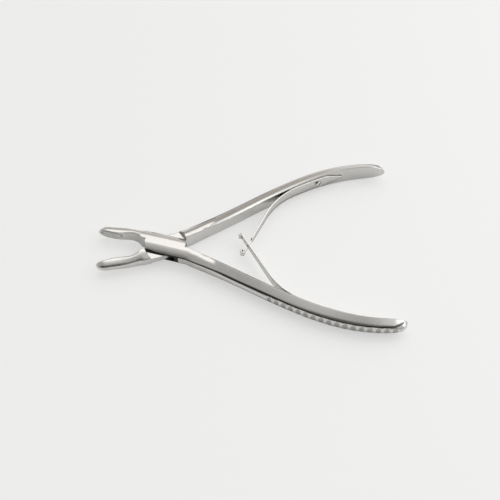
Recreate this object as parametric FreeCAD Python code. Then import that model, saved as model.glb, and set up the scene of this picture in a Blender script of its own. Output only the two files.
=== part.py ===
import FreeCAD, Part
import math
import os

# Bone rongeur, single action, box lock, lying flat. All sizes are millimetres and degrees.
# The pivot axis is Z, the handles point to +X, the underside of the lock is Z = 0.
# Each half is drawn in its closed place, with the closing line on the X axis and the middle
# of its thickness on Z = 0, and is then turned open about the pivot and lifted.

# How far the halves stand open at rest, handle to handle
opening_angle = 34.0
# Half of the gap that stays between the closed jaws and between the roots of the handles
closing_gap = 0.05

# Lock: a box through the female half, and a thin shank of the male half in it
box_half_width = 6.1
crown_half_height = 4.3
edge_half_height = 1.95
land_half_height = 4.1
land_half_length = 17.0
box_end_radius = 10.4
shoulder_clearance = 0.4
shank_thickness = 2.7
shank_side_clearance = 0.08
shank_disc_radius = 8.8
slot_end_clearance = 0.2
slot_edge_clearance = 0.1
root_distance = 12.5
root_bevel_depth = 2.05

# Pivot pin, fast in the female half and running in the male half
pin_radius = 2.2
pin_running_clearance = 0.04

# Jaws: distance from the pivot, place of the biting side, depth and half heights
jaw_reach = 35.9
jaw_round_length = 4.6
jaw_stations = (15.0, 18.0, 22.0, 26.0, 30.5)
jaw_rims = (1.4, 1.9, 1.1, 0.2, 0.0)
jaw_depths = (4.0, 3.4, 3.9, 4.1, 3.5)
jaw_bevels = (1.3, 1.0, 0.9, 0.8, 0.7)
jaw_inner_heights = (3.5, 3.0, 2.7, 2.6, 2.5)
jaw_ridge_heights = (3.7, 3.3, 3.0, 2.85, 2.75)
jaw_outer_heights = (1.95, 1.9, 1.85, 1.8, 1.7)
jaw_crowns = (0.3, 0.5, 0.6, 0.7, 0.7)
jaw_side_radius = 7.0
# Straight steps from the root to the round tip, and the turns of the sections round the tip
jaw_body_steps = 9
jaw_tip_turns = (30.0, 55.0, 72.0, 84.0)

# Cup in the biting side of each jaw
cup_centre_distance = 28.9
cup_half_length = 4.9
cup_radius = 1.95

# Handles: line of the inner face, depth and half heights, from the root to the round end
handle_line_x = (30.0, 45.0, 60.0, 80.0, 97.0, 112.0, 125.0)
handle_line_y = (3.6, 7.4, 11.4, 15.6, 17.1, 15.8, 12.2)
handle_reach = 125.3
handle_round_length = 12.5
handle_tip_length = 5.0
handle_stations = (24.0, 38.0, 60.0, 80.0, 97.0, 114.0)
handle_depths = (5.9, 5.7, 5.2, 4.8, 4.4, 4.0)
handle_bevels = (1.25, 1.2, 1.1, 0.9, 0.65, 0.4)
handle_inner_heights = (3.45, 3.25, 3.5, 4.0, 4.5, 4.55)
handle_ridge_heights = (4.1, 4.1, 4.2, 4.5, 4.85, 4.8)
handle_outer_heights = (2.2, 2.15, 2.5, 2.9, 3.0, 2.6)
handle_crowns = (0.3, 0.6, 0.9, 1.0, 1.0, 0.9)
handle_side_radius = 45.0
# Straight steps from the root to the round end, and the turns of the sections round the end
handle_body_steps = 18
handle_end_turns = (28.0, 50.0, 66.0, 77.0, 84.5)

# Scalloped grip across the outer face of each handle
groove_count = 17
groove_first_x = 60.0
groove_pitch = 3.7
groove_radius = 1.6
groove_depth = 0.6
groove_turns = (-66.0, -33.0, 0.0, 33.0, 66.0)

# Leaf springs
leaf_thickness = 0.8
leaf_root_width = 6.4
leaf_end_width = 3.2
leaf_seat_gap = 0.08
leaf_tail_x = 102.5
leaf_tail_point_length = 9.0
leaf_tail_end_width = 0.8
leaf_lift_x = 74.7
leaf_bend_radius = 37.0
leaf_free_angle = 46.0
tongue_overrun = 5.2
tongue_neck_width = 1.1
tongue_neck_lead = 2.4
eye_radius = 1.2
eye_bore_radius = 0.45
eye_height = 2.8
slot_overrun = 7.6
slot_side_clearance = 0.2
slot_lead = 2.6
slot_bridge = 1.1
bead_radius = 0.7

# Screw of each leaf spring
screw_x = 88.6
screw_head_radius = 1.8
screw_head_height = 0.9
screw_head_dome = 0.25
screw_shank_radius = 1.1
screw_hole_clearance = 0.15
screw_depth = 3.4
screw_drive_width = 0.6
screw_drive_depth = 0.45
screw_drive_turn = 55.0

Z_AXIS = FreeCAD.Vector(0, 0, 1)
CENTRE = FreeCAD.Vector(0, 0, 0)


def smooth_value(stations, values, x):
    """Value at x on a smooth curve through the given values at the given stations."""
    last = len(stations) - 1
    if x <= stations[0]:
        return values[0]
    if x >= stations[last]:
        return values[last]
    span = max(i for i in range(last) if stations[i] <= x)

    def slope(i):
        low = max(i - 1, 0)
        high = min(i + 1, last)
        return (values[high] - values[low]) / (stations[high] - stations[low])

    width = stations[span + 1] - stations[span]
    t = (x - stations[span]) / width
    start_weight = 2 * t**3 - 3 * t**2 + 1
    end_weight = 1 - start_weight
    start_pull = (t**3 - 2 * t**2 + t) * width * slope(span)
    end_pull = (t**3 - t**2) * width * slope(span + 1)
    return start_weight * values[span] + end_weight * values[span + 1] + start_pull + end_pull


def crown_radius():
    """Radius of the crown over the lock, level at its middle."""
    drop = crown_half_height - edge_half_height
    return (box_half_width**2 + drop**2) / (2 * drop)


def crown_height(y):
    """Half height of the crown at the distance y from the middle of the lock."""
    radius = crown_radius()
    return crown_half_height - radius + math.sqrt(radius**2 - y**2)


def arm_loft(sections):
    """Solid through the sections of an arm, straight from each section to the next."""
    return Part.makeLoft(sections, True, True)


def bulged_edge(start, end, bulge):
    """Edge from start to end whose middle stands out by the vector bulge."""
    if bulge.Length < 1e-4:
        return Part.LineSegment(start, end).toShape()
    curve = Part.BezierCurve()
    curve.setPoles([start, (start + end) * 0.5 + bulge * 2, end])
    return curve.toShape()


def side_bulge(start, end, radius, up):
    """Outward middle offset of a side edge that is an arc of the given radius."""
    chord = end - start
    sag = radius - math.sqrt(radius**2 - (chord.Length / 2)**2)
    normal = chord.cross(Z_AXIS).cross(chord)
    normal.normalize()
    return normal * (sag if up else -sag)


def arm_section(foot, outward, depth, bevel, heights, crown, side_radius):
    """Closed outline across an arm: inner face, bevels, sides and crowned outer face."""
    inner, ridge, outer = heights

    def corner(distance, height):
        return foot + outward * distance + Z_AXIS * height

    upper = [corner(0, inner), corner(bevel, ridge), corner(depth, outer)]
    lower = [corner(depth, -outer), corner(bevel, -ridge), corner(0, -inner)]
    edges = [
        bulged_edge(upper[0], upper[1], side_bulge(upper[0], upper[1], side_radius, True)),
        bulged_edge(upper[1], upper[2], side_bulge(upper[1], upper[2], side_radius, True)),
        bulged_edge(upper[2], lower[0], outward * crown),
        bulged_edge(lower[0], lower[1], side_bulge(lower[0], lower[1], side_radius, False)),
        bulged_edge(lower[1], lower[2], side_bulge(lower[1], lower[2], side_radius, False)),
        bulged_edge(lower[2], upper[0], CENTRE),
    ]
    return Part.Wire(edges)


def root_section(x):
    """Section of the lock from the closing line to its side, where an arm starts."""
    foot = FreeCAD.Vector(x, closing_gap, 0)
    heights = (
        crown_height(closing_gap),
        crown_height(closing_gap + root_bevel_depth),
        edge_half_height,
    )
    depth = box_half_width - closing_gap
    outward = FreeCAD.Vector(0, 1, 0)
    return arm_section(foot, outward, depth, root_bevel_depth, heights, 0, crown_radius())


def root_block(direction):
    """Straight run of an arm beside the pivot, on the -X or +X side."""
    start = root_section(direction * root_distance)
    length = root_distance - pin_radius
    return Part.Face(start).extrude(FreeCAD.Vector(-direction * length, 0, 0))


def with_root(values, root_value):
    """Values along an arm, with the one at its root put first."""
    return (root_value,) + tuple(values)


def round_off(distance, length):
    """Share of the full size that is left at a distance into a rounded end."""
    share = min(max(distance / length, 0.0), 0.998)
    return math.sqrt(1 - share**2)


def arm_values(stations, tables, x):
    """Smooth values of several tables at x."""
    return [smooth_value(stations, table, x) for table in tables]


def arm_places(round_start, round_length, body_steps, end_turns):
    """Distances of an arm's sections: even along the body, closer round the end."""
    step = (round_start - root_distance) / body_steps
    body = [root_distance + step * i for i in range(body_steps + 1)]
    return body + [round_start + round_length * math.sin(math.radians(turn)) for turn in end_turns]


def jaw_arm():
    """Jaw from the lock to the tip, above the closing line, without its cup."""
    stations = with_root(jaw_stations, root_distance)
    tables = (
        with_root([rim + closing_gap for rim in jaw_rims], closing_gap),
        with_root(jaw_depths, box_half_width - closing_gap),
        with_root(jaw_bevels, root_bevel_depth),
        with_root(jaw_inner_heights, crown_height(closing_gap)),
        with_root(jaw_ridge_heights, crown_height(closing_gap + root_bevel_depth)),
        with_root(jaw_outer_heights, edge_half_height),
        with_root(jaw_crowns, 0.0),
        with_root([1 / jaw_side_radius] * len(jaw_stations), 1 / crown_radius()),
    )
    round_start = jaw_reach - jaw_round_length
    sections = []
    for x in arm_places(round_start, jaw_round_length, jaw_body_steps, jaw_tip_turns):
        rim, depth, bevel, inner, ridge, outer, crown, curve = arm_values(stations, tables, x)
        left = round_off(x - round_start, jaw_round_length)
        foot = FreeCAD.Vector(-x, rim, 0)
        heights = (inner * left, ridge * left, outer * left)
        outward = FreeCAD.Vector(0, 1, 0)
        sections.append(
            arm_section(foot, outward, depth * left, bevel * left, heights, crown * left, 1 / curve)
        )
    return arm_loft(sections).fuse(root_block(-1))


def handle_line(x):
    """Distance of the handle's inner face from the closing line."""
    return smooth_value(
        with_root(handle_line_x, root_distance), with_root(handle_line_y, closing_gap), x
    )


def handle_heading(x):
    """Angle of the handle's inner face to the X axis, in radians."""
    step = 0.5
    return math.atan2(handle_line(x + step) - handle_line(x - step), 2 * step)


def handle_frame(x):
    """Point on the inner face at x, and the direction out of the handle's back there."""
    heading = handle_heading(x) if x > root_distance else 0.0
    foot = FreeCAD.Vector(x, handle_line(x), 0)
    outward = FreeCAD.Vector(-math.sin(heading), math.cos(heading), 0)
    return foot, outward


def handle_tables():
    """Stations of the handle and its values there, root first."""
    stations = with_root(handle_stations, root_distance)
    tables = (
        with_root(handle_depths, box_half_width - closing_gap),
        with_root(handle_bevels, root_bevel_depth),
        with_root(handle_inner_heights, crown_height(closing_gap)),
        with_root(handle_ridge_heights, crown_height(closing_gap + root_bevel_depth)),
        with_root(handle_outer_heights, edge_half_height),
        with_root(handle_crowns, 0.0),
        with_root([1 / handle_side_radius] * len(handle_stations), 1 / crown_radius()),
    )
    return stations, tables


def handle_back(x):
    """Distance from the inner face to the top of the crowned back at x."""
    stations, tables = handle_tables()
    depth, crown = (smooth_value(stations, tables[i], x) for i in (0, 5))
    return (depth + crown) * round_off(x - handle_reach + handle_tip_length, handle_tip_length)


def handle_arm():
    """Handle from the lock to its round end, above the closing line, with its grip."""
    stations, tables = handle_tables()
    round_start = handle_reach - handle_round_length
    sections = []
    for x in arm_places(round_start, handle_round_length, handle_body_steps, handle_end_turns):
        depth, bevel, inner, ridge, outer, crown, curve = arm_values(stations, tables, x)
        foot, outward = handle_frame(x)
        height_left = round_off(x - round_start, handle_round_length)
        depth_left = round_off(x - handle_reach + handle_tip_length, handle_tip_length)
        heights = (inner * height_left, ridge * height_left, outer * height_left)
        sections.append(
            arm_section(foot, outward, depth * depth_left, bevel * depth_left, heights,
                        crown * depth_left, 1 / curve)
        )
    arm = arm_loft(sections).fuse(root_block(1))
    return arm.cut(grip_grooves())


def grip_grooves():
    """Row of hollow-ground grooves across the crowned back of a handle."""
    half_height = 2 * max(handle_outer_heights)
    turns = [math.radians(turn) for turn in groove_turns]
    cutters = []
    for number in range(groove_count):
        x = groove_first_x + number * groove_pitch
        foot, outward = handle_frame(x)
        along = outward.cross(Z_AXIS)
        rise = handle_back(x) + groove_radius - groove_depth
        centre = foot + outward * rise - Z_AXIS * half_height
        arc = []
        for turn in turns:
            direction = along * math.sin(turn) - outward * math.cos(turn)
            arc.append(centre + direction * groove_radius)
        outline = Part.makePolygon(arc + arc[:1])
        cutters.append(Part.Face(outline).extrude(Z_AXIS * (2 * half_height)))
    return Part.makeCompound(cutters)


def cup():
    """Hollow of the spoon in a jaw, turned about the closing line."""
    centre = FreeCAD.Vector(-cup_centre_distance, closing_gap, 0)
    ellipse = Part.Ellipse(centre, cup_half_length, cup_radius)
    arc = Part.Arc(ellipse, 0, math.pi).toShape()
    ends = [arc.valueAt(arc.FirstParameter), arc.valueAt(arc.LastParameter)]
    axis = Part.LineSegment(ends[1], ends[0]).toShape()
    return Part.Face(Part.Wire([arc, axis])).revolve(centre, FreeCAD.Vector(1, 0, 0), 360)


def mirrored(shape):
    """The same shape on the other side of the closing line."""
    return shape.mirror(CENTRE, FreeCAD.Vector(0, 1, 0))


def upright_disc(radius, half_height):
    """Cylinder about the pivot axis, half of it above the middle."""
    return Part.makeCylinder(radius, 2 * half_height, FreeCAD.Vector(0, 0, -half_height), Z_AXIS)


def slab(x_low, x_high, y_low, y_high, half_height):
    """Flat block centred on the middle of the thickness."""
    corner = FreeCAD.Vector(x_low, y_low, -half_height)
    return Part.makeBox(x_high - x_low, y_high - y_low, 2 * half_height, corner)


def crowned_bar():
    """Bar over the whole width of the lock with both faces crowned."""
    half = root_section(0)
    side = Part.Face(half).extrude(FreeCAD.Vector(2 * root_distance, 0, 0))
    side.translate(FreeCAD.Vector(-root_distance, 0, 0))
    core = slab(-root_distance, root_distance, -closing_gap, closing_gap, crown_height(closing_gap))
    return side.fuse(core).fuse(mirrored(side))


def ground_lands():
    """Blocks that grind the top and the underside of the lock flat."""
    height = box_half_width
    corner = FreeCAD.Vector(-land_half_length, -2 * box_half_width, land_half_height)
    top = Part.makeBox(2 * land_half_length, 4 * box_half_width, height, corner)
    return top.fuse(top.mirror(CENTRE, Z_AXIS))


def lock_slot():
    """Room in the female half for the shank, from closed to open."""
    half_height = shank_thickness / 2 + shank_side_clearance
    reach = box_end_radius + slot_end_clearance
    disc = upright_disc(shank_disc_radius + slot_end_clearance, half_height)
    front = slab(-reach, 0, -reach, closing_gap + slot_edge_clearance, half_height)
    rear = slab(0, reach, -closing_gap - slot_edge_clearance, reach, half_height)
    return disc.fuse(front.fuse(rear).common(upright_disc(reach, half_height)))


def shank():
    """Thin plate of the male half that turns in the slot."""
    half_height = shank_thickness / 2
    disc = upright_disc(shank_disc_radius, half_height)
    disc = disc.common(slab(-root_distance, root_distance, -box_half_width, box_half_width, half_height))
    reach = box_end_radius + 2 * shoulder_clearance
    arm = slab(0, reach, closing_gap, box_half_width, half_height)
    other_arm = arm.copy()
    other_arm.rotate(CENTRE, Z_AXIS, 180)
    return disc.fuse(arm).fuse(other_arm)


def screw_hole():
    """Blind hole for the leaf's screw, in a handle above the closing line."""
    foot, outward = handle_frame(screw_x)
    start = foot - outward * leaf_seat_gap
    return Part.makeCylinder(screw_shank_radius, screw_depth + leaf_seat_gap, start, outward)


def female_half():
    """Upper jaw, box and lower handle."""
    box = crowned_bar().common(upright_disc(box_end_radius, crown_half_height))
    body = box.fuse(jaw_arm().cut(cup())).fuse(mirrored(handle_arm().cut(screw_hole())))
    body = body.cut(ground_lands()).cut(lock_slot())
    return body.cut(upright_disc(pin_radius, crown_half_height)).removeSplitter()


def male_half():
    """Lower jaw, shank and upper handle."""
    shoulder = upright_disc(box_end_radius + shoulder_clearance, crown_half_height)
    arms = mirrored(jaw_arm().cut(cup())).fuse(handle_arm().cut(screw_hole()))
    body = arms.cut(ground_lands()).cut(shoulder).fuse(shank())
    hole = upright_disc(pin_radius + pin_running_clearance, crown_half_height)
    return body.cut(hole).removeSplitter()


def pivot_pin():
    """Pin through the box and the shank, ground flush with both lands."""
    return upright_disc(pin_radius, land_half_height)


def leaf_point(x, offset):
    """Point beside the handle's inner face, offset towards the other handle."""
    foot, outward = handle_frame(x)
    return foot - outward * offset


class LeafPath:
    """Line of a leaf in plan: along the handle, round the bend, then straight to its end."""

    def __init__(self, overrun):
        self.start_angle = handle_heading(leaf_lift_x)
        self.end_angle = math.radians(leaf_free_angle)
        middle = leaf_seat_gap + leaf_thickness / 2
        self.bend_centre = leaf_point(leaf_lift_x, middle + leaf_bend_radius)
        self.bend_end = self.on_bend(self.end_angle, 0)
        self.heading = FreeCAD.Vector(-math.cos(self.end_angle), -math.sin(self.end_angle), 0)
        self.outward = FreeCAD.Vector(-math.sin(self.end_angle), math.cos(self.end_angle), 0)
        self.crossing = self.bend_end + self.heading * self.run_to_crossing()
        self.end = self.crossing + self.heading * overrun

    def on_bend(self, angle, offset):
        """Point on the bend at the angle, offset from the middle of the thickness."""
        radius = leaf_bend_radius + offset
        return self.bend_centre + FreeCAD.Vector(-math.sin(angle), math.cos(angle), 0) * radius

    def run_to_crossing(self):
        """Length of the straight run until it meets the middle line of the open tool."""
        tilt = math.radians(opening_angle / 2)
        across = FreeCAD.Vector(math.sin(tilt), math.cos(tilt), 0)
        return -self.bend_end.dot(across) / self.heading.dot(across)

    def ribbon_outline(self):
        """Closed outline of the leaf's thickness in plan."""
        half = leaf_thickness / 2
        steps = 5
        stations = [leaf_tail_x + (leaf_lift_x - leaf_tail_x) * i / steps for i in range(steps + 1)]
        outer = [leaf_point(x, leaf_seat_gap) for x in stations]
        inner = [leaf_point(x, leaf_seat_gap + leaf_thickness) for x in stations]
        middle_angle = (self.start_angle + self.end_angle) / 2
        outer_bend = [self.on_bend(a, half) for a in (middle_angle, self.end_angle)]
        inner_bend = [self.on_bend(a, -half) for a in (middle_angle, self.end_angle)]
        outer_end = self.end + self.outward * half
        inner_end = self.end - self.outward * half
        outer_curve = Part.BSplineCurve()
        outer_curve.interpolate(outer)
        inner_curve = Part.BSplineCurve()
        inner_curve.interpolate(inner)
        edges = [
            outer_curve.toShape(),
            Part.Arc(outer[-1], outer_bend[0], outer_bend[1]).toShape(),
            Part.LineSegment(outer_bend[1], outer_end).toShape(),
            Part.LineSegment(outer_end, inner_end).toShape(),
            Part.LineSegment(inner_end, inner_bend[1]).toShape(),
            Part.Arc(inner_bend[1], inner_bend[0], inner[-1]).toShape(),
            inner_curve.toShape(),
            Part.LineSegment(inner[0], outer[0]).toShape(),
        ]
        return Part.Wire(Part.__sortEdges__(edges))


def leaf_side_outline(path):
    """Outline of the leaf's width seen from the side, pointed at its tail."""
    end_x = path.end.x - leaf_thickness
    upper = [
        (leaf_tail_x + leaf_thickness, leaf_tail_end_width / 2),
        (leaf_tail_x - leaf_tail_point_length, leaf_root_width / 2),
        (leaf_lift_x, leaf_root_width / 2),
        (path.crossing.x, leaf_end_width / 2),
        (end_x, leaf_end_width / 2),
    ]
    points = upper + [(x, -z) for x, z in reversed(upper)]
    reach = handle_reach
    corners = [FreeCAD.Vector(x, -reach, z) for x, z in points + points[:1]]
    return Part.Face(Part.makePolygon(corners)).extrude(FreeCAD.Vector(0, 2 * reach, 0))


def plain_leaf(path):
    """Leaf with its taper and the hole for its screw."""
    base = FreeCAD.Vector(0, 0, -leaf_root_width / 2)
    ribbon = Part.Face(path.ribbon_outline()).extrude(Z_AXIS * leaf_root_width)
    ribbon.translate(base)
    foot, outward = handle_frame(screw_x)
    hole_radius = screw_shank_radius + screw_hole_clearance
    start = foot - outward * (3 * leaf_thickness)
    hole = Part.makeCylinder(hole_radius, 4 * leaf_thickness, start, outward)
    return ribbon.common(leaf_side_outline(path)).cut(hole)


def bar_along(path, start, end, half_thickness, half_width):
    """Block along the straight run, between two distances past the crossing."""
    length = end - start
    block = Part.makeBox(length, 2 * half_thickness, 2 * half_width,
                         FreeCAD.Vector(start, -half_thickness, -half_width))
    block.rotate(CENTRE, Z_AXIS, 180 + math.degrees(path.end_angle))
    block.translate(path.crossing)
    return block


def tongue_leaf():
    """Leaf of the male handle: a narrow neck through the other leaf, with a rolled eye."""
    path = LeafPath(tongue_overrun)
    leaf = plain_leaf(path)
    depth = eye_radius + leaf_thickness
    full = bar_along(path, -tongue_neck_lead, tongue_overrun + depth, depth, leaf_root_width)
    neck = bar_along(
        path, -tongue_neck_lead - depth, tongue_overrun + 2 * depth, 2 * depth, tongue_neck_width / 2
    )
    leaf = leaf.cut(full.cut(neck))
    centre = path.end + path.outward * (eye_radius - leaf_thickness / 2)
    base = centre - Z_AXIS * (eye_height / 2)
    eye = Part.makeCylinder(eye_radius, eye_height, base, Z_AXIS)
    bore = Part.makeCylinder(eye_bore_radius, eye_height, base, Z_AXIS)
    return leaf.fuse(eye).cut(bore).removeSplitter()


def slotted_leaf():
    """Leaf of the female handle: a slot that the other leaf's neck slides in."""
    path = LeafPath(slot_overrun)
    leaf = plain_leaf(path)
    half_slot = tongue_neck_width / 2 + slot_side_clearance
    slot = bar_along(path, -slot_lead, slot_overrun - slot_bridge, 2 * leaf_thickness, half_slot)
    base = path.end - Z_AXIS * (leaf_end_width / 2)
    bead = Part.makeCylinder(bead_radius, leaf_end_width, base, Z_AXIS)
    return mirrored(leaf.cut(slot).fuse(bead).removeSplitter())


def leaf_screw():
    """Slotted screw that clamps a leaf to the handle above the closing line."""
    foot, outward = handle_frame(screw_x)
    head_distance = 2 * leaf_seat_gap + leaf_thickness
    seat = foot - outward * head_distance
    shank_length = head_distance + screw_depth - leaf_seat_gap
    inward = outward * -1
    shank = Part.makeCylinder(screw_shank_radius, shank_length, seat, outward)
    head = Part.makeCylinder(screw_head_radius, screw_head_height, seat, inward)
    dome_radius = (screw_head_radius**2 + screw_head_dome**2) / (2 * screw_head_dome)
    dome = Part.makeSphere(dome_radius, seat + inward * (screw_head_height - dome_radius))
    drive = Part.makeBox(4 * screw_head_radius, screw_drive_width, 2 * screw_drive_depth)
    drive.translate(FreeCAD.Vector(-2 * screw_head_radius, -screw_drive_width / 2, -screw_drive_depth))
    drive.rotate(CENTRE, Z_AXIS, screw_drive_turn)
    drive.rotate(CENTRE, FreeCAD.Vector(1, 0, 0), 90)
    drive.rotate(CENTRE, Z_AXIS, math.degrees(handle_heading(screw_x)))
    drive.translate(seat + inward * screw_head_height)
    return shank.fuse(head.common(dome)).cut(drive).removeSplitter()


def placed(shape, side):
    """Shape turned open about the pivot and lifted onto its underside."""
    turned = shape.copy()
    turned.rotate(CENTRE, Z_AXIS, side * opening_angle / 2)
    turned.translate(Z_AXIS * land_half_height)
    return turned


def build():
    """All pieces at rest, by name."""
    return {
        "female_half": placed(female_half(), -1),
        "male_half": placed(male_half(), 1),
        "pivot_pin": placed(pivot_pin(), -1),
        "tongue_leaf_spring": placed(tongue_leaf(), 1),
        "slotted_leaf_spring": placed(slotted_leaf(), -1),
        "tongue_leaf_screw": placed(leaf_screw(), 1),
        "slotted_leaf_screw": placed(mirrored(leaf_screw()), -1),
    }


os.makedirs("parts", exist_ok=True)
for name, shape in build().items():
    shape.exportStep(os.path.join("parts", name + ".step"))
    print(name, shape.ShapeType, len(shape.Solids), shape.isValid(), round(shape.Volume, 2))
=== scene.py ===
import math

import bmesh
import bpy
from bpy.props import FloatProperty, FloatVectorProperty, PointerProperty
from mathutils import Matrix, Vector


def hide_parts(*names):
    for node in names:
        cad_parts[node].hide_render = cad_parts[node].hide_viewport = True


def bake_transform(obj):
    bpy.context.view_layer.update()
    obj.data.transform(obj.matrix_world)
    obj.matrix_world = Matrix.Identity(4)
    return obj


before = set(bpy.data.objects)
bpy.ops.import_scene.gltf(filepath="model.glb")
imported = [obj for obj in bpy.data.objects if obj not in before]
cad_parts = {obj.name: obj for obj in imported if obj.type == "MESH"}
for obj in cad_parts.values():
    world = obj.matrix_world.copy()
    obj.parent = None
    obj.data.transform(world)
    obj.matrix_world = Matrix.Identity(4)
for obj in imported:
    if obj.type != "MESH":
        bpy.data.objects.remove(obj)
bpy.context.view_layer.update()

bl_info = {
    "name": "Bone Rongeur",
    "version": (1, 0, 0),
    "blender": (4, 5, 0),
    "location": "View3D > Sidebar > Rongeur",
    "description": "Steel finishes, bending leaf springs and a light table for a bone rongeur",
    "category": "Object",
}

MM = 0.001
UP = Vector((0, 0, 1))

# How the halves lie at rest: turned open about the pivot and lifted onto the lock's underside
HALF_OPENING = math.radians(17)
MIDDLE_HEIGHT = 4.1 * MM
FEMALE = -1
MALE = 1

# The places and lengths from here to the shoulder are those of a closed half, with the pivot at
# zero, the closing line on the X axis and the handle on the side of +Y. A row of four holds two
# places along X and the value at each

# Inner face of a handle, as in the CAD, and the place of the spring's screw along it
HANDLE_X = [x * MM for x in (12.5, 30, 45, 60, 80, 97, 112, 125)]
HANDLE_Y = [y * MM for y in (0.05, 3.6, 7.4, 11.4, 15.6, 17.1, 15.8, 12.2)]
SCREW_X = 88.6 * MM

# Steel polished over the joint between the pin and the lock
RIVET_RADIUS = 3.0 * MM

# Ground grooves of the grip: arches across the handle's back, square to its line
GROOVE_COUNT = 17
GROOVE_FIRST = 60.0 * MM
GROOVE_PITCH = 3.7 * MM
GROOVE_LAST = GROOVE_FIRST + (GROOVE_COUNT - 1) * GROOVE_PITCH
GROOVE_RISE = 5.6 * MM
GROOVE_HALF_WIDTH = 1.2 * MM
GROOVE_HALF_HEIGHT = 2.3 * MM
# Slope of the handle's line
GRIP_SLOPES = (62 * MM, 126 * MM, 0.234, -0.226)

# Hollow in each jaw
CUP_X = -28.9 * MM
CUP_HALF_LENGTH = 4.9 * MM
CUP_RADIUS = 1.95 * MM

# Painted shade line on the edge between the handle's back and its top: where the line starts, the
# edge's height above the middle near the lock, what it gains farther on, and half the width of the line
EDGE_START = -3 * MM
EDGE_ROOT = (10 * MM, 24 * MM, 1.95 * MM, 2.18 * MM)
EDGE_RISE = (38 * MM, 60 * MM, 0.0, 0.32 * MM)
EDGE_HALF_WIDTH = 0.29 * MM

# Painted shadow of the seam in the side of the lock: the distances from the pivot between which it
# fades, and half its height
SEAM_FADE = (10.7 * MM, 10.4 * MM)
SEAM_HEIGHTS = (0.0, -9 * MM, 2.1 * MM, 2.7 * MM)

# Painted shade of the stepped shoulder of the male half beside the lock's end: the distances from the
# pivot between which it fades, the height where it begins, and the pitch of its steps
SHOULDER_FADE = (11.1 * MM, 10.9 * MM)
SHOULDER_FOOT = 1.45 * MM
SHOULDER_PITCH = 1.1 * MM

# Steps of a leaf: on its handle, round its bend, in its straight run and round its rolled end
SEAT_STEPS = 26
BEND_STEPS = 18
RUN_STEPS = 60
ROLL_STEPS = 16

# Light and dark parts of the room: azimuth, elevation, outer and inner angle in degrees, strength
ROOM_PARTS = (
    (86, 54, 38, 16, 0.80),
    (60, 3, 40, 10, 0.45),
    (-38, 56, 28, 10, 0.30),
    (120, 82, 24, 4, 0.26),
    (160, 66, 20, 5, -0.16),
    (-112, 20, 52, 26, -0.39),
)
# Brown wall low behind the tool, given in the same way
BROWN_WALL = (96.95, 5.18, 24, 9)


class SteelSizes(bpy.types.PropertyGroup):
    """Colours and surface of the steel parts."""

    satin_colour: FloatVectorProperty(
        name="Satin steel", description="Colour of the halves", subtype="COLOR", size=3,
        default=(0.74, 0.73, 0.71))
    spring_colour: FloatVectorProperty(
        name="Spring steel", description="Colour of the leaf springs", subtype="COLOR", size=3,
        default=(0.72, 0.71, 0.69))
    screw_colour: FloatVectorProperty(
        name="Screw steel", description="Colour of the screws", subtype="COLOR", size=3,
        default=(0.74, 0.72, 0.69))
    satin_roughness: FloatProperty(
        name="Satin roughness", description="Roughness of the halves", default=0.24, min=0.05, max=1)
    spring_roughness: FloatProperty(
        name="Spring roughness", description="Roughness of the leaf springs", default=0.26,
        min=0.05, max=1)
    screw_roughness: FloatProperty(
        name="Screw roughness", description="Roughness of the screws", default=0.24, min=0.05, max=1)
    edge_radius: FloatProperty(
        name="Edge radius", description="Radius that polishing leaves on the halves", unit="LENGTH",
        default=0.45 * MM)
    screw_edge_radius: FloatProperty(
        name="Screw edge radius", description="Radius on the edges of the screws", unit="LENGTH",
        default=0.27 * MM)
    spring_edge_radius: FloatProperty(
        name="Spring edge radius", description="Radius on the edges of the leaf springs",
        unit="LENGTH", default=0.05 * MM)
    pin_edge_radius: FloatProperty(
        name="Pin edge radius", description="Radius on the edges of the pin", unit="LENGTH",
        default=0.02 * MM)
    grain_width: FloatProperty(
        name="Grain width", description="Width of the brush marks", unit="LENGTH", default=0.22 * MM)
    grain_length: FloatProperty(
        name="Grain length", description="Length of the brush marks", unit="LENGTH", default=9 * MM)


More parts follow.
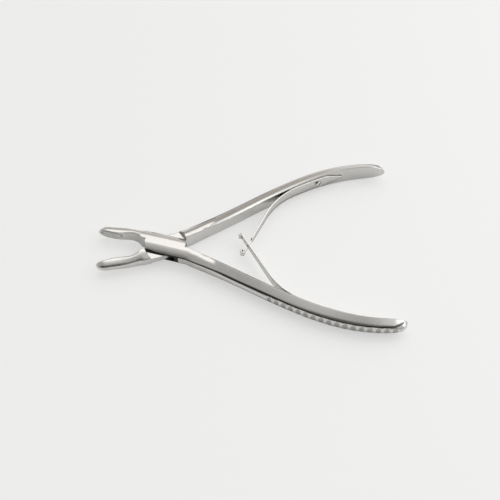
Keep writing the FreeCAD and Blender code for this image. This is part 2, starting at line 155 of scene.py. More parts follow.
class LeafSizes(bpy.types.PropertyGroup):
    """Sizes of the two leaf springs."""

    thickness: FloatProperty(
        name="Thickness", description="Thickness of a leaf", unit="LENGTH", default=0.8 * MM)
    root_width: FloatProperty(
        name="Root width", description="Width where a leaf lies on its handle", unit="LENGTH",
        default=6.4 * MM)
    end_width: FloatProperty(
        name="End width", description="Width where the leaves cross", unit="LENGTH", default=3.2 * MM)
    rounding: FloatProperty(
        name="Rounding", description="Rounding of a leaf's edges", unit="LENGTH", default=0.12 * MM)
    seat_gap: FloatProperty(
        name="Seat gap", description="Gap between a leaf and its handle", unit="LENGTH",
        default=0.08 * MM)
    tail_x: FloatProperty(
        name="Tail", description="Place of the pointed tail along the handle", unit="LENGTH",
        default=102.5 * MM)
    tail_width: FloatProperty(
        name="Tail width", description="Width at the very tail", unit="LENGTH", default=0.8 * MM)
    point_length: FloatProperty(
        name="Point length", description="Length of the tail's point", unit="LENGTH", default=9 * MM)
    lift_x: FloatProperty(
        name="Lift", description="Where a leaf leaves its handle", unit="LENGTH", default=74.7 * MM)
    bend_radius: FloatProperty(
        name="Bend radius", description="Radius of the leaf's bend", unit="LENGTH", default=37 * MM)
    free_angle: FloatProperty(
        name="Free angle", description="Angle of the straight run to the closing line",
        unit="ROTATION", default=math.radians(46))
    neck_width: FloatProperty(
        name="Neck width", description="Width of the tongue's neck", unit="LENGTH", default=1.3 * MM)
    neck_lead: FloatProperty(
        name="Neck lead", description="Length of the neck before the crossing", unit="LENGTH",
        default=3.5 * MM)
    tongue_overrun: FloatProperty(
        name="Tongue reach", description="Length of the tongue past the crossing", unit="LENGTH",
        default=5.2 * MM)
    eye_lead: FloatProperty(
        name="Eye lead", description="Length of the wide strip before the rolled eye",
        unit="LENGTH", default=0.5 * MM)
    eye_width: FloatProperty(
        name="Eye width", description="Width of the rolled eye", unit="LENGTH", default=2.8 * MM)
    eye_radius: FloatProperty(
        name="Eye radius", description="Radius of the eye at mid thickness", unit="LENGTH",
        default=0.8 * MM)
    eye_turn: FloatProperty(
        name="Eye turn", description="How far the eye is rolled up", unit="ROTATION",
        default=math.radians(318))
    slot_overrun: FloatProperty(
        name="Slotted reach", description="Length of the slotted leaf past the crossing",
        unit="LENGTH", default=7.6 * MM)
    slot_width: FloatProperty(
        name="Slot width", description="Width of the slot for the neck", unit="LENGTH",
        default=1.5 * MM)
    slot_lead: FloatProperty(
        name="Slot lead", description="Length of the slot before the crossing", unit="LENGTH",
        default=3.8 * MM)
    slot_bridge: FloatProperty(
        name="Slot bridge", description="Length of whole strip past the slot", unit="LENGTH",
        default=1.1 * MM)
    bead_radius: FloatProperty(
        name="Bead radius", description="Radius of the rolled bead at mid thickness",
        unit="LENGTH", default=0.5 * MM)
    bead_turn: FloatProperty(
        name="Bead turn", description="How far the bead is rolled up", unit="ROTATION",
        default=math.radians(290))


class TableSizes(bpy.types.PropertyGroup):
    """Light table, room and camera."""

    floor_colour: FloatVectorProperty(
        name="Floor", description="Colour of the floor", subtype="COLOR", size=3,
        default=(0.94, 0.945, 0.94))
    floor_glow: FloatProperty(
        name="Floor glow", description="Share of the floor's own white that the camera sees",
        default=0.52, min=0, max=1)
    floor_mirror: FloatProperty(
        name="Floor in steel", description="Share of that white that the steel mirrors",
        default=0.2, min=0, max=1)
    floor_white: FloatProperty(
        name="Floor white", description="The floor's own white", default=0.98, min=0, max=1)
    floor_drop: FloatProperty(
        name="Floor drop", description="Depth of the floor below the lock's underside",
        unit="LENGTH", default=0.85 * MM)
    floor_size: FloatProperty(
        name="Floor size", description="Side of the floor", unit="LENGTH", default=4.0)
    backdrop_white: FloatProperty(
        name="Backdrop", description="White that the camera sees beyond the floor", default=0.84,
        min=0, max=1)
    room_colour: FloatVectorProperty(
        name="Room", description="Colour of the room's light", subtype="COLOR", size=3,
        default=(1.0, 0.985, 0.965))
    wall_colour: FloatVectorProperty(
        name="Low wall", description="Colour of the wall low behind the tool", subtype="COLOR",
        size=3, default=(0.84, 0.775, 0.70))
    room_strength: FloatProperty(
        name="Room strength", description="Strength of the room's plain parts", default=0.48, min=0)
    lamp_place: FloatVectorProperty(
        name="Lamp", description="Place of the soft lamp", subtype="TRANSLATION", size=3,
        default=(0.75, 0.15, 0.55))
    lamp_target: FloatVectorProperty(
        name="Lamp target", description="Point that the lamp shines at", subtype="TRANSLATION",
        size=3, default=(0.045, 0, 0))
    lamp_width: FloatProperty(
        name="Lamp width", description="Width of the lamp", unit="LENGTH", default=0.90)
    lamp_height: FloatProperty(
        name="Lamp height", description="Height of the lamp", unit="LENGTH", default=0.70)
    lamp_power: FloatProperty(
        name="Lamp power", description="Power of the lamp in watts", default=2.6, min=0)
    camera_place: FloatVectorProperty(
        name="Camera", description="Place of the camera", subtype="TRANSLATION", size=3,
        default=(0.03584, -0.27830, 0.36381))
    camera_target: FloatVectorProperty(
        name="Target", description="Point that the camera looks at", subtype="TRANSLATION", size=3,
        default=(0.0425, -0.00469, 0.0066))
    lens: FloatProperty(
        name="Lens", description="Focal length in millimetres", default=64.8, min=10)


class Wire:
    """Output of a shader node. Arithmetic on it adds Math nodes beside it."""

    def __init__(self, recipe, socket):
        self.recipe = recipe
        self.socket = socket

    def math(self, operation, *operands, clamp=False):
        settings = {"operation": operation, "use_clamp": clamp}
        return self.recipe.node("ShaderNodeMath", settings, dict(enumerate(operands)))

    def __add__(self, other):
        return self.math("ADD", self, other)

    __radd__ = __add__

    def __sub__(self, other):
        return self.math("SUBTRACT", self, other)

    def __rsub__(self, other):
        return self.math("SUBTRACT", other, self)

    def __mul__(self, other):
        return self.math("MULTIPLY", self, other)

    def clamped(self):
        return self.math("ADD", self, 0.0, clamp=True)

    def absolute(self):
        return self.math("ABSOLUTE", self)

    def sine(self):
        return self.math("SINE", self)

    def nearest_whole(self):
        return self.math("ROUND", self)

    def at_least(self, other):
        return self.math("MAXIMUM", self, other)


class Recipe:
    """Shader nodes of one material or of the world."""

    def __init__(self, tree):
        tree.nodes.clear()
        self.tree = tree

    def node(self, kind, settings=None, sockets=None, output=0):
        """New node: its settings first, then the values or links of its sockets."""
        made = self.tree.nodes.new(kind)
        for name, value in (settings or {}).items():
            setattr(made, name, value)
        for name, value in (sockets or {}).items():
            self.feed(made.inputs[name], value)
        return Wire(self, made.outputs[output]) if made.outputs else made

    def feed(self, socket, value):
        if isinstance(value, Wire):
            self.tree.links.new(value.socket, socket)
        else:
            socket.default_value = value

    def place(self):
        """Point on the piece in its own space, so that the pattern moves with the piece."""
        return self.node("ShaderNodeTexCoord", output="Object")

    def turned(self, vector, angle, scale):
        """Vector turned about Z by -angle, then scaled along each axis."""
        flat = self.node(
            "ShaderNodeVectorRotate", {"rotation_type": "Z_AXIS"}, {"Vector": vector, "Angle": -angle})
        return self.vector_math("MULTIPLY", flat, scale)

    def vector_math(self, operation, first, second, output=0):
        return self.node(
            "ShaderNodeVectorMath", {"operation": operation}, {0: first, 1: second}, output)

    def dot(self, first, second):
        return self.vector_math("DOT_PRODUCT", first, second, output="Value")

    def split(self, vector):
        """The three parts of a vector."""
        parts = self.tree.nodes.new("ShaderNodeSeparateXYZ")
        self.feed(parts.inputs[0], vector)
        return tuple(Wire(self, output) for output in parts.outputs)

    def noise(self, vector, scale=1.0, detail=3.0, roughness=0.5):
        """Noise about a half."""
        return self.node(
            "ShaderNodeTexNoise", {"normalize": True},
            {"Vector": vector, "Scale": scale, "Detail": detail, "Roughness": roughness})

    def mix_colour(self, share, first, second):
        return self.node(
            "ShaderNodeMix", {"data_type": "RGBA"}, {0: share, 6: first, 7: second}, output=2)

    def mix_vector(self, share, first, second):
        return self.node(
            "ShaderNodeMix", {"data_type": "VECTOR"}, {0: share, 4: first, 5: second}, output=1)

    def map(self, value, low, high, to_low=0.0, to_high=1.0):
        """Value from low..high taken smoothly to to_low..to_high."""
        return self.node(
            "ShaderNodeMapRange", {"interpolation_type": "SMOOTHSTEP"},
            {"Value": value, "From Min": low, "From Max": high, "To Min": to_low, "To Max": to_high})

    def past(self, value, limit, fade):
        """1 above a limit, 0 below it, fading over as much as fade on each side."""
        return self.map(value, limit - fade, limit + fade)

    def within(self, value, limit, fade):
        """1 below a limit, 0 above it, fading over as much as fade on each side."""
        return self.map(value, limit + fade, limit - fade)

    def near_pivot(self, from_pivot, fade):
        """1 inside and 0 outside of a circle round the pivot, from the distance squared."""
        outer, inner = fade
        return self.map(from_pivot, outer**2, inner**2)

    def edges(self, radius):
        """Normal with rounded edges, the face's own normal, and how far the two agree."""
        rounded = self.node("ShaderNodeBevel", {"samples": 6}, {"Radius": radius})
        flat = self.node("ShaderNodeNewGeometry", output="Normal")
        return rounded, flat, self.dot(rounded, flat)

    def worn(self, agreement):
        """1 on edges that polishing has rounded, 0 on faces."""
        return self.map(agreement, 0.985, 0.90)

    def unshaded(self):
        """1 on open faces, less in slots and corners, where painted shade darkens the steel."""
        reach = 1.2 * MM
        found = self.node("ShaderNodeAmbientOcclusion", {"samples": 8}, {"Distance": reach}, output="AO")
        return self.map(found, 0.2, 0.75, 0.12, 1.0)

    def steel(self, colour, roughness, metallic, normal):
        """Steel surface as the material's result."""
        surface = self.node(
            "ShaderNodeBsdfPrincipled", None,
            {"Base Color": colour, "Roughness": roughness, "Metallic": metallic, "Normal": normal})
        self.finish(surface)

    def bump(self, strength, distance, height, normal):
        return self.node(
            "ShaderNodeBump", None,
            {"Strength": strength, "Distance": distance, "Height": height, "Normal": normal})

    def finish(self, surface):
        self.node("ShaderNodeOutputMaterial", None, {"Surface": surface})


def new_material(name):
    """New material and the recipe that fills it."""
    material = bpy.data.materials.new(name)
    material.use_nodes = True
    return material, Recipe(material.node_tree)


def with_alpha(colour):
    return tuple(colour) + (1.0,)


def shade_of(colour, share):
    """Colour made lighter or darker by a share, with full alpha."""
    return with_alpha(min(part * share, 1.0) for part in colour)


class Look:
    """Colour, roughness, metal and unshaded share of a steel surface, on which marks are laid; where that
    share is low, shade is painted into the colour.
    """

    def __init__(self, recipe, steel, colour, roughness, unshaded):
        self.recipe = recipe
        self.steel = steel
        self.colour = colour
        self.roughness = roughness
        self.unshaded = unshaded
        self.metallic = 1.0

    def mark(self, where, shade):
        """Takes the colour to a shade of the steel's where the mark is."""
        self.colour = self.recipe.mix_colour(where, self.colour, shade_of(self.steel, shade))


class HalfPlace:
    """Place of a point on a closed half, from the pivot at mid height, and how far it faces outward.

    from_pivot is the square of the distance from the pivot.
    """

    def __init__(self, recipe, side):
        angle = side * HALF_OPENING
        mirror = (1.0, side, 1.0)
        self.x, self.y, z = recipe.split(recipe.turned(recipe.place(), angle, mirror))
        self.z = z - MIDDLE_HEIGHT
        self.height = self.z.absolute()
        self.from_pivot = self.x * self.x + self.y * self.y
        facing = recipe.node("ShaderNodeTexCoord", output="Normal")
        self.outward = recipe.split(recipe.turned(facing, angle, mirror))[1]


def groove_finish_and_shade(recipe, at, look):
    """Ground grooves on the handle's back: matt arches, square to the handle's line, darkened with painted
    shade.
    """
    foot = at.x + recipe.map(at.x, *GRIP_SLOPES) * GROOVE_RISE
    number = (foot - GROOVE_FIRST) * (1 / GROOVE_PITCH)
    beside = (number - number.nearest_whole()) * (GROOVE_PITCH / GROOVE_HALF_WIDTH)
    above = at.z * (1 / GROOVE_HALF_HEIGHT)
    margin = GROOVE_PITCH / 2
    fade = 0.05 * MM
    begun = recipe.past(foot, GROOVE_FIRST - margin, fade)
    not_over = recipe.within(foot, GROOVE_LAST + margin, fade)
    on_back = recipe.past(at.outward, 0.425, 0.075)
    arch = recipe.within(beside * beside + above * above, 0.975, 0.175)
    groove = arch * on_back * begun * not_over
    # Painted shade: the grooves' colour is darkened; the added roughness below is their matt finish
    look.mark(groove, shade=0.68)
    look.unshaded = look.unshaded.at_least(groove * 0.9)
    look.roughness = look.roughness + groove * 0.12


def cup_highlight_and_shadow(recipe, at, look):
    """Painted highlight in the jaw's hollow, made pale and not metallic, and a painted shadow round its
    rim that is weaker below the middle.
    """
    along = (at.x - CUP_X) * (1 / CUP_HALF_LENGTH)
    deep = at.y * (1 / CUP_RADIUS)
    above = at.z * (1 / CUP_RADIUS)
    from_cup = along * along + deep * deep + above * above
    # Painted shadow round the rim, darker above the middle
    rim = recipe.within(from_cup, 1.5, 0.1) * recipe.map(at.z, -0.5 * MM, 0.8 * MM, 0.4, 1.0)
    look.mark(rim, shade=0.30)
    # Painted highlight: the inside of the cup is made pale
    hollow = recipe.within(from_cup, 1.08, 0.04)
    look.mark(hollow, shade=1.38)
    look.unshaded = look.unshaded.at_least(hollow)
    look.metallic = 1.0 - hollow


def edge_shade_line(recipe, at, look):
    """Painted shade: a dark line along the edge between the handle's back and its top and underside."""
    edge_height = recipe.map(at.x, *EDGE_ROOT) + recipe.map(at.x, *EDGE_RISE)
    off_edge = (at.height - edge_height).absolute()
    line = recipe.within(off_edge, EDGE_HALF_WIDTH, 0.07 * MM)
    on_back = recipe.past(at.outward, 0.10, 0.05)
    on_arm = recipe.past(at.x, EDGE_START, 1 * MM)
    look.mark(line * on_back * on_arm * 0.9, shade=0.10)


def seam_shadow(recipe, at, look):
    """Painted shadow: a dark seam in the side of the lock, where the female half is open for the shank."""
    half_height = recipe.map(at.x, *SEAM_HEIGHTS)
    in_seam = recipe.within(at.height - half_height, 0.0, 0.2 * MM)
    look.mark(in_seam * recipe.near_pivot(at.from_pivot, SEAM_FADE), shade=0.05)


def shoulder_step_shade(recipe, at, look):
    """Painted shade in stripes for the steps of the male half's wall beside the lock's end."""
    above_foot = recipe.past(at.height, SHOULDER_FOOT, 0.05 * MM)
    wall = recipe.near_pivot(at.from_pivot, SHOULDER_FADE) * above_foot
    steps = (at.height * (2 * math.pi / SHOULDER_PITCH)).sine()
    look.mark(recipe.map(steps, 0.0, 0.6) * wall, shade=0.15)
    look.unshaded = look.unshaded.at_least(wall * 0.75)


def half_marks(recipe, side, look):
    """All marks of a half: the grooves' matt finish, and painted shade and highlight."""
    at = HalfPlace(recipe, side)
    groove_finish_and_shade(recipe, at, look)
    cup_highlight_and_shadow(recipe, at, look)
    edge_shade_line(recipe, at, look)
    if side == FEMALE:
        seam_shadow(recipe, at, look)
    else:
        shoulder_step_shade(recipe, at, look)


def polished_over(recipe, place):
    """1 over the flush end of the pivot pin, where the steel is polished over, 0 elsewhere."""
    x, y, _ = recipe.split(place)
    return recipe.near_pivot(x * x + y * y, (RIVET_RADIUS * 1.1, RIVET_RADIUS))


def steel_material(name, colour, roughness, sizes, grain_angle, grain_strength, edge_radius,
                   at_pivot=False, side=None):
    """Steel with brush marks along grain_angle, faint stains, edges that polishing has rounded, and
    painted shade: dark lines on the edges and in slots and corners.
    """
    material, recipe = new_material(name)
    place = recipe.place()
    coarse = (1 / sizes.grain_length, 1 / sizes.grain_width, 1 / sizes.grain_width)
    finer = tuple(2.6 * scale for scale in coarse)
    grain = recipe.noise(recipe.turned(place, grain_angle, coarse), roughness=0.6)
    fine = recipe.noise(recipe.turned(place, grain_angle, finer), detail=2.0, roughness=0.6)
    cloud = recipe.noise(place, scale=90.0, roughness=0.55) - 0.5
    stain = recipe.noise(place, scale=260.0, detail=4.0, roughness=0.6) - 0.5
    brushing = (grain - 0.5) * 0.5 + (fine - 0.5) * 0.3

    rounded, flat, agreement = recipe.edges(edge_radius)
    # Painted shade: a dark line where the rounded normal turns away from the face's own
    line = recipe.map(agreement, 0.99, 0.95)
    unshaded = recipe.unshaded()
    if at_pivot:
        flush = polished_over(recipe, place)
        line = line * (1.0 - flush)
        unshaded = unshaded.at_least(flush)
        rounded = recipe.mix_vector(flush, rounded, flat)

    tone = (cloud * 0.6 + stain * 0.3 + brushing * 0.8 * grain_strength + 0.5).clamped()
    body = recipe.mix_colour(tone, shade_of(colour, 0.93), shade_of(colour, 1.06))
    rough = roughness + brushing * 0.4 * grain_strength + cloud * 0.08 + stain * 0.04
    look = Look(recipe, colour, body, rough, unshaded)
    look.mark(line * 0.75, shade=0.25)
    if side:
        half_marks(recipe, side, look)

    # Painted shade: slots and corners that ambient occlusion finds are darkened to a tenth of the steel's
    # colour
    shaded = recipe.mix_colour(look.unshaded, shade_of(colour, 0.10), look.colour)
    polished = (look.roughness - recipe.worn(agreement) * 0.08).clamped()
    relief = grain * 0.7 + fine * 0.3
    normal = recipe.bump(0.25 * grain_strength, 0.003 * MM, relief, rounded)
    recipe.steel(shaded, polished, look.metallic, normal)
    return material


def turned_material(name, sizes, centre, axis):
    """Steel turned on a lathe: fine rings about an axis, with polished edges and painted shade in slots
    and corners.
    """
    material, recipe = new_material(name)
    colour = sizes.screw_colour
    place = recipe.place()
    arm = recipe.vector_math("SUBTRACT", place, centre)
    across = recipe.vector_math("CROSS_PRODUCT", arm, axis)
    distance = recipe.node("ShaderNodeVectorMath", {"operation": "LENGTH"}, {0: across}, output="Value")
    wobble = recipe.noise(place, scale=900.0)
    phase_per_metre = 30000.0
    rings = (distance * phase_per_metre + wobble * 4.0).sine()

    rounded, _, agreement = recipe.edges(sizes.screw_edge_radius)
    edge = recipe.worn(agreement)
    tone = (rings * 0.18 + (wobble - 0.5) * 0.8 + 0.5).clamped()
    body = recipe.mix_colour(tone, shade_of(colour, 0.88), shade_of(colour, 1.08))
    bright = recipe.mix_colour(edge * 0.5, body, shade_of(colour, 1.2))
    # Painted shade: slots and corners that ambient occlusion finds are darkened to 8 per cent of the
    # screw's colour
    shaded = recipe.mix_colour(recipe.unshaded(), shade_of(colour, 0.08), bright)
    rough = (sizes.screw_roughness + rings * 0.03 + (wobble - 0.5) * 0.12 - edge * 0.08).clamped()
    recipe.steel(shaded, rough, 1.0, recipe.bump(0.2, 0.004 * MM, rings, rounded))
    return material


def dress(obj, material):
    """Puts one material on all of an object."""
    obj.data.materials.clear()
    obj.data.materials.append(material)


def even_normals(obj):
    """Smooth shading over the shallow joints between a half's faces, with its real edges kept."""
    weld = obj.modifiers.new("joined", "WELD")
    weld.merge_threshold = 0.002 * MM
    parted = obj.modifiers.new("real_edges", "EDGE_SPLIT")
    parted.use_edge_sharp = False
    parted.split_angle = math.radians(40)
    even = obj.modifiers.new("even", "WEIGHTED_NORMAL")
    even.mode = "CORNER_ANGLE"


def smooth_value(x):
    """Distance of the handle's inner face from the closing line at x, as in the CAD."""
    last = len(HANDLE_X) - 1
    x = min(max(x, HANDLE_X[0]), HANDLE_X[last])
    span = max(i for i in range(last) if HANDLE_X[i] <= x)

    def slope(i):
        low = max(i - 1, 0)
        high = min(i + 1, last)
        return (HANDLE_Y[high] - HANDLE_Y[low]) / (HANDLE_X[high] - HANDLE_X[low])

    width = HANDLE_X[span + 1] - HANDLE_X[span]
    t = (x - HANDLE_X[span]) / width
    end_weight = t * t * (3 - 2 * t)
    start_pull = (t**3 - 2 * t**2 + t) * width * slope(span)
    end_pull = (t**3 - t**2) * width * slope(span + 1)
    return (1 - end_weight) * HANDLE_Y[span] + end_weight * HANDLE_Y[span + 1] + start_pull + end_pull


def left_of(heading):
    """Unit vector in plan, to the left of a heading."""
    return Vector((-math.sin(heading), math.cos(heading), 0))


def handle_frame(x):
    """Point on the handle's inner face, the angle of its run there and the way into the handle."""
    step = 0.5 * MM
    heading = math.atan2(smooth_value(x + step) - smooth_value(x - step), 2 * step)
    return Vector((x, smooth_value(x), 0)), heading, left_of(heading)


def opened(side):
    """Matrix that takes a point from a half's closed place to its place at rest."""
    turn = Matrix.Rotation(side * HALF_OPENING, 4, "Z")
    flip = Matrix.Diagonal((1, side, 1, 1))
    return Matrix.Translation(UP * MIDDLE_HEIGHT) @ turn @ flip


class LeafLine:
    """Middle line of a leaf in plan: along its handle, round the bend, then straight past the crossing."""

    def __init__(self, sizes, overrun):
        self.sizes = sizes
        self.offset = sizes.seat_gap + sizes.thickness / 2
        _, self.start_angle, into = handle_frame(sizes.lift_x)
        self.lift = self.on_handle(sizes.lift_x)
        self.bend_centre = self.lift - into * sizes.bend_radius
        self.bend_end = self.on_bend(sizes.free_angle)
        self.heading = Vector((-math.cos(sizes.free_angle), -math.sin(sizes.free_angle), 0))
        across = Vector((math.sin(HALF_OPENING), math.cos(HALF_OPENING), 0))
        run = -self.bend_end.dot(across) / self.heading.dot(across)
        self.crossing = self.bend_end + self.heading * run
        self.end = self.crossing + self.heading * overrun

    def on_handle(self, x):
        foot, _, into = handle_frame(x)
        return foot - into * self.offset

    def on_bend(self, angle):
        return self.bend_centre + left_of(angle) * self.sizes.bend_radius

    def past_crossing(self, point):
        """Distance of a point past the place where the leaves cross."""
        return (point - self.crossing).dot(self.heading)

    def seat_width(self, x):
        """Width on the handle, where the tail runs to a point."""
        sizes = self.sizes
        share = min((sizes.tail_x - x) / sizes.point_length, 1.0)
        return sizes.tail_width + (sizes.root_width - sizes.tail_width) * share

    def free_width(self, point):
        """Width from the lift on, narrowing as far as the crossing."""
        sizes = self.sizes
        share = (point.x - self.crossing.x) / (self.lift.x - self.crossing.x)
        return sizes.end_width + (sizes.root_width - sizes.end_width) * min(max(share, 0.0), 1.0)

    def points(self):
        """Points of the line from the tail to the straight run's end, with the width at each."""
        sizes = self.sizes
        seat_places = [
            sizes.tail_x + (sizes.lift_x - sizes.tail_x) * i / SEAT_STEPS for i in range(SEAT_STEPS)]
        turn = sizes.free_angle - self.start_angle
        bend = [self.on_bend(self.start_angle + turn * i / BEND_STEPS) for i in range(BEND_STEPS)]
        run = [self.bend_end.lerp(self.end, i / RUN_STEPS) for i in range(RUN_STEPS + 1)]
        on_seat = [(self.on_handle(x), self.seat_width(x)) for x in seat_places]
        return on_seat + [(point, self.free_width(point)) for point in bend + run]


def across_row(point, heights):
    """Points above and below one place of a leaf's line."""
    return [point + UP * height for height in heights]


def plain_row(point, width):
    """Row of three points over the leaf's width."""
    return across_row(point, (-width / 2, 0, width / 2))


def rolled_rows(line, radius, turn, width):
    """Rows of a strip's end that is rolled up, away from its handle."""
    outward = left_of(line.sizes.free_angle)
    centre = line.end + outward * radius
    rows = []
    for i in range(1, ROLL_STEPS + 1):
        arm = Matrix.Rotation(-turn * i / ROLL_STEPS, 3, "Z") @ -outward * radius
        rows.append(plain_row(centre + arm, width))
    return rows


def ribbon(bm, rows, left_out=()):
    """Faces between rows of vertices, without those of a slot."""
    made = [[bm.verts.new(point) for point in row] for row in rows]
    for i in range(len(made) - 1):
        for j in range(len(made[i]) - 1):
            if (i, j) not in left_out:
                bm.faces.new((made[i][j], made[i][j + 1], made[i + 1][j + 1], made[i + 1][j]))


def solid_piece(name, bm, thickness, edge):
    """Mesh object from a sheet, made solid, with rounded edges and smooth shading."""
    bmesh.ops.recalc_face_normals(bm, faces=bm.faces)
    mesh = bpy.data.meshes.new(name)
    bm.to_mesh(mesh)
    bm.free()
    sheet = bpy.data.objects.new(name + "_sheet", mesh)
    bpy.context.scene.collection.objects.link(sheet)
    thick = sheet.modifiers.new("thickness", "SOLIDIFY")
    thick.thickness = thickness
    thick.offset = 0
    thick.use_even_offset = True
    rounding = sheet.modifiers.new("rounding", "BEVEL")
    rounding.width = edge
    rounding.segments = 2
    rounding.limit_method = "ANGLE"
    rounding.angle_limit = math.radians(50)
    rounding.harden_normals = True
    bpy.context.view_layer.update()
    graph = bpy.context.evaluated_depsgraph_get()
    final = bpy.data.meshes.new_from_object(sheet.evaluated_get(graph))
    for face in final.polygons:
        face.use_smooth = True
    bpy.data.objects.remove(sheet)
    final.name = name
    piece = bpy.data.objects.new(name, final)
    bpy.context.scene.collection.objects.link(piece)
    return piece


def tongue_leaf(sizes):
    """Leaf of the male half: its neck narrows before the crossing and rolls into an eye past it."""
    line = LeafLine(sizes, sizes.tongue_overrun)
    rows = []
    for point, width in line.points():
        past = line.past_crossing(point)
        if past > sizes.tongue_overrun - sizes.eye_lead:
            width = sizes.eye_width
        elif past > -sizes.neck_lead:
            width = sizes.neck_width
        rows.append(plain_row(point, width))
    rows += rolled_rows(line, sizes.eye_radius, sizes.eye_turn, sizes.eye_width)
    bm = bmesh.new()
    ribbon(bm, rows)
    return line, solid_piece("tongue_leaf_strip", bm, sizes.thickness, sizes.rounding)


def slotted_leaf(sizes):
    """Leaf of the female half: a slot for the other's neck, and a rolled bead at its end."""
    line = LeafLine(sizes, sizes.slot_overrun)
    rows = []
    left_out = set()
    for i, (point, width) in enumerate(line.points()):
        # Toward the pointed tail the inner columns of points draw together with the outer ones
        half_slot = min(sizes.slot_width, width * 0.6) / 2
        rows.append(across_row(point, (-width / 2, -half_slot, half_slot, width / 2)))
        if -sizes.slot_lead < line.past_crossing(point) < sizes.slot_overrun - sizes.slot_bridge:
            left_out.add((i, 1))
    bead = [plain_row(line.end, sizes.end_width)]
    bead += rolled_rows(line, sizes.bead_radius, sizes.bead_turn, sizes.end_width)
    bm = bmesh.new()
    ribbon(bm, rows, left_out)
    ribbon(bm, bead)
    return line, solid_piece("slotted_leaf_strip", bm, sizes.thickness, sizes.rounding)


class RONGEUR_OT_halves(bpy.types.Operator):
    """Give both halves and the pin their brushed satin steel"""

    bl_idname = "rongeur.halves"
    bl_label = "Finish halves"

    def execute(self, context):
        sizes = context.scene.rongeur_steel
        for name, side in (("female_half", FEMALE), ("male_half", MALE)):
            material = steel_material(
                "satin_steel_" + name, sizes.satin_colour, sizes.satin_roughness, sizes,
                grain_angle=side * HALF_OPENING, grain_strength=0.6, edge_radius=sizes.edge_radius,
                at_pivot=True, side=side)
            dress(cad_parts[name], material)
            even_normals(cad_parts[name])
        pin = steel_material(
            "polished_pin", sizes.satin_colour, sizes.satin_roughness, sizes,
            grain_angle=FEMALE * HALF_OPENING, grain_strength=1.0, edge_radius=sizes.pin_edge_radius,
            at_pivot=True)
        dress(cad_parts["pivot_pin"], pin)
        return {"FINISHED"}


class RONGEUR_OT_leaf_springs(bpy.types.Operator):
    """Build the two leaf springs, which bend where they leave the handles"""

    bl_idname = "rongeur.leaf_springs"
    bl_label = "Build leaf springs"

    def execute(self, context):
        sizes = context.scene.rongeur_leaf
        steel = context.scene.rongeur_steel
        for make, side, half, body, node in (
            (tongue_leaf, MALE, "male_side", "tongue_leaf", "tongue_leaf_spring"),
            (slotted_leaf, FEMALE, "female_side", "slotted_leaf", "slotted_leaf_spring"),
        ):
            line, piece = make(sizes)
            place = opened(side)
            piece.data.transform(place)
            if side == FEMALE:
                piece.data.flip_normals()
            material = steel_material(
                "spring_steel_" + body, steel.spring_colour, steel.spring_roughness, steel,
                grain_angle=side * (sizes.free_angle + HALF_OPENING), grain_strength=0.5,
                edge_radius=steel.spring_edge_radius)
            dress(piece, material)
            place @ line.lift
            place @ line.bend_end
            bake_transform(piece)
            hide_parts(node)
        return {"FINISHED"}


class RONGEUR_OT_screws(bpy.types.Operator):
    """Give the two spring screws their turned steel"""

    bl_idname = "rongeur.screws"
    bl_label = "Finish screws"

    def execute(self, context):
        foot, _, into = handle_frame(SCREW_X)
        for name, side in (("tongue_leaf_screw", MALE), ("slotted_leaf_screw", FEMALE)):
            place = opened(side)
            material = turned_material(
                "turned_steel_" + name, context.scene.rongeur_steel, place @ foot,
                place.to_3x3() @ into)
            dress(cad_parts[name], material)
        return {"FINISHED"}


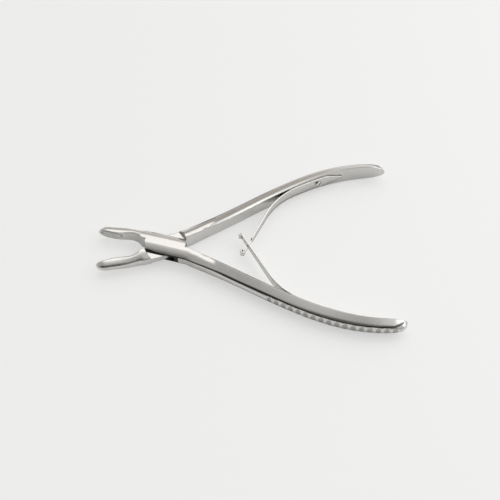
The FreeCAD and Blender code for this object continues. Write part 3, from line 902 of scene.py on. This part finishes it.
class RONGEUR_OT_light_table(bpy.types.Operator):
    """Build the pale floor, the soft light and the camera"""

    bl_idname = "rongeur.light_table"
    bl_label = "Build light table"

    def execute(self, context):
        sizes = context.scene.rongeur_table
        self.floor(context, sizes)
        self.lamp(context, sizes)
        self.surroundings(context, sizes)
        self.camera(context, sizes)
        context.scene.view_settings.view_transform = "Standard"
        return {"FINISHED"}

    def floor(self, context, sizes):
        half = sizes.floor_size / 2
        bm = bmesh.new()
        corners = [(-half, -half), (half, -half), (half, half), (-half, half)]
        bm.faces.new([bm.verts.new((x, y, -sizes.floor_drop)) for x, y in corners])
        mesh = bpy.data.meshes.new("floor")
        bm.to_mesh(mesh)
        bm.free()
        floor = bpy.data.objects.new("floor", mesh)
        context.scene.collection.objects.link(floor)
        mesh.materials.append(self.floor_material(sizes))

    def floor_material(self, sizes):
        """Matt white that keeps the tool's shadow, partly shown as plain white."""
        material, recipe = new_material("pale_table")
        lit = recipe.node(
            "ShaderNodeBsdfPrincipled", None,
            {"Base Color": with_alpha(sizes.floor_colour), "Roughness": 0.7, "Specular IOR Level": 0.2})
        pale = recipe.node(
            "ShaderNodeEmission", None, {"Color": (1, 1, 1, 1), "Strength": sizes.floor_white})
        seen, mirrored, through = (
            recipe.node("ShaderNodeLightPath", output=name)
            for name in ("Is Camera Ray", "Is Glossy Ray", "Is Transmission Ray"))
        share = (seen + mirrored * sizes.floor_mirror + through).clamped() * sizes.floor_glow
        recipe.finish(recipe.node("ShaderNodeMixShader", None, {0: share, 1: lit, 2: pale}))
        return material

    def lamp(self, context, sizes):
        light = bpy.data.lights.new("softbox_right", "AREA")
        light.shape = "RECTANGLE"
        light.size = sizes.lamp_width
        light.size_y = sizes.lamp_height
        light.energy = sizes.lamp_power
        lamp = bpy.data.objects.new("softbox_right", light)
        self.aim(context, lamp, sizes.lamp_place, sizes.lamp_target)

    def surroundings(self, context, sizes):
        """Soft grey room, brighter high up and behind the tool, darker behind the camera."""
        world = bpy.data.worlds.new("soft_room")
        context.scene.world = world
        world.use_nodes = True
        recipe = Recipe(world.node_tree)
        direction = recipe.node("ShaderNodeTexCoord", output="Generated")
        strength = sizes.room_strength
        for *part, share in ROOM_PARTS:
            strength = strength + self.part_of_room(recipe, direction, *part) * share
        seen = recipe.node("ShaderNodeLightPath", output="Is Camera Ray")
        unseen = 1.0 - seen
        strength = strength * unseen + seen * sizes.backdrop_white
        low_wall = self.part_of_room(recipe, direction, *BROWN_WALL) * unseen
        colour = recipe.mix_colour(low_wall, with_alpha(sizes.room_colour), with_alpha(sizes.wall_colour))
        background = recipe.node("ShaderNodeBackground", None, {"Color": colour, "Strength": strength})
        recipe.node("ShaderNodeOutputWorld", None, {"Surface": background})

    def part_of_room(self, recipe, direction, azimuth, elevation, outer, inner):
        """1 within the inner angle from a direction, 0 beyond the outer one, all in degrees."""
        turn = math.radians(azimuth)
        tilt = math.radians(elevation)
        towards = (math.cos(turn) * math.cos(tilt), math.sin(turn) * math.cos(tilt), math.sin(tilt))
        nearness = recipe.dot(direction, towards)
        return recipe.map(nearness, math.cos(math.radians(outer)), math.cos(math.radians(inner)))

    def camera(self, context, sizes):
        data = bpy.data.cameras.new("camera")
        data.lens = sizes.lens
        data.sensor_width = 36
        data.clip_start = 0.01
        camera = bpy.data.objects.new("camera", data)
        self.aim(context, camera, sizes.camera_place, sizes.camera_target)
        context.scene.camera = camera

    def aim(self, context, obj, place, target):
        """Puts a lamp or camera at a place, looking at a target."""
        obj.location = place
        way = Vector(target) - Vector(place)
        obj.rotation_euler = way.to_track_quat("-Z", "Y").to_euler()
        context.scene.collection.objects.link(obj)


class RONGEUR_PT_panel(bpy.types.Panel):
    """Sidebar panel that lists the steps"""

    bl_idname = "RONGEUR_PT_panel"
    bl_label = "Rongeur"
    bl_space_type = "VIEW_3D"
    bl_region_type = "UI"
    bl_category = "Rongeur"

    def draw(self, context):
        for step in STEPS:
            self.layout.operator(step.bl_idname)


GROUPS = {"rongeur_steel": SteelSizes, "rongeur_leaf": LeafSizes, "rongeur_table": TableSizes}
STEPS = (RONGEUR_OT_halves, RONGEUR_OT_leaf_springs, RONGEUR_OT_screws, RONGEUR_OT_light_table)


def register():
    for group in GROUPS.values():
        bpy.utils.register_class(group)
    for step in STEPS:
        bpy.utils.register_class(step)
    bpy.utils.register_class(RONGEUR_PT_panel)
    for name, group in GROUPS.items():
        setattr(bpy.types.Scene, name, PointerProperty(type=group))


def unregister():
    for name in GROUPS:
        delattr(bpy.types.Scene, name)
    bpy.utils.unregister_class(RONGEUR_PT_panel)
    for step in reversed(STEPS):
        bpy.utils.unregister_class(step)
    for group in reversed(list(GROUPS.values())):
        bpy.utils.unregister_class(group)


def main():
    register()
    bpy.ops.rongeur.halves()
    bpy.ops.rongeur.leaf_springs()
    bpy.ops.rongeur.screws()
    bpy.ops.rongeur.light_table()


if __name__ == "__main__":
    main()
